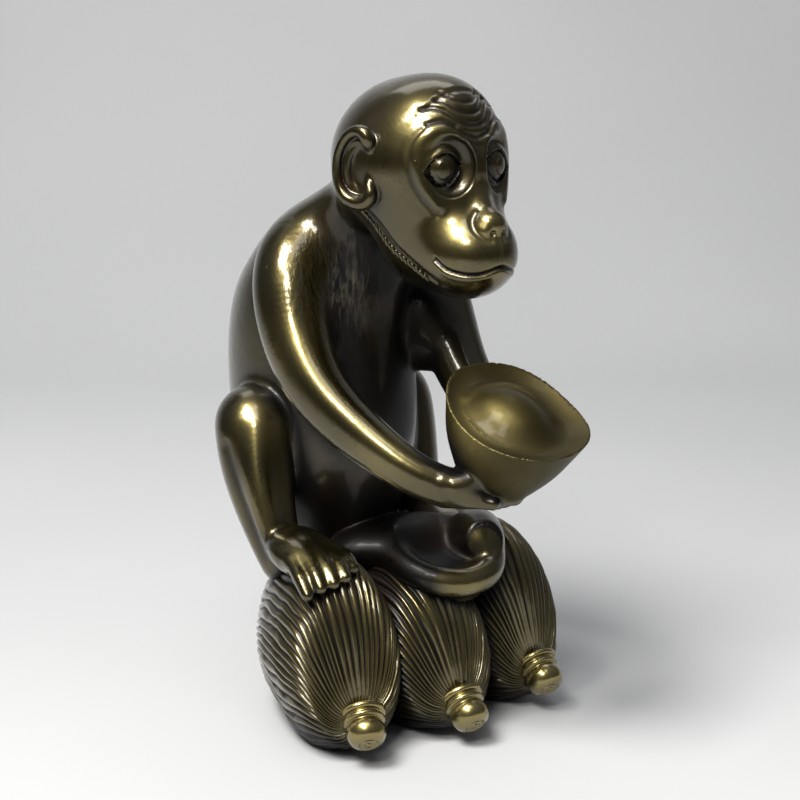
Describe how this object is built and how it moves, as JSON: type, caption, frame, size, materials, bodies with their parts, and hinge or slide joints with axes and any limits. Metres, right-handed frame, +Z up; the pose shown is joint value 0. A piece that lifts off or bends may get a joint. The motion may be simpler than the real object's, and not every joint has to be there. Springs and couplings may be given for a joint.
{
  "type": "monkey figurine",
  "caption": "Cast brass figurine of a monkey squatting on a hand of ribbed fruits and holding out a boat-shaped ingot; rests on the flat feet of the fruits.",
  "frame": {"origin": "on the ground, under the middle fruit, in the monkey's middle plane", "axes": "+Z up, the face looks along -Y, the monkey's left side at +X"},
  "size_m": [0.0717, 0.1053, 0.1421],
  "materials": {
    "monkey_brass": "aged, hand rubbed",
    "ingot_brass": "aged, hand rubbed, brighter on the rim",
    "fruit_brass": "aged, polished on the ribs"
  },
  "bodies": {
    "root": {"head": "monkey_brass", "ear_left": "monkey_brass", "ear_right": "monkey_brass", "eye_left": "monkey_brass", "eye_right": "monkey_brass", "torso": "monkey_brass", "arm_left": "monkey_brass", "arm_right": "monkey_brass", "hand_left": "monkey_brass", "hand_right": "monkey_brass", "leg_left": "monkey_brass", "leg_right": "monkey_brass", "foot_left": "monkey_brass", "foot_right": "monkey_brass", "tail": "monkey_brass", "ingot_bowl": "ingot_brass", "ingot_dome": "ingot_brass", "fruit_left": "fruit_brass", "fruit_middle": "fruit_brass", "fruit_right": "fruit_brass", "fruit_tip_left": "fruit_brass", "fruit_tip_middle": "fruit_brass", "fruit_tip_right": "fruit_brass", "stalk_crown": "fruit_brass", "stalk_cut_end": "fruit_brass"}
  },
  "joints": []
}
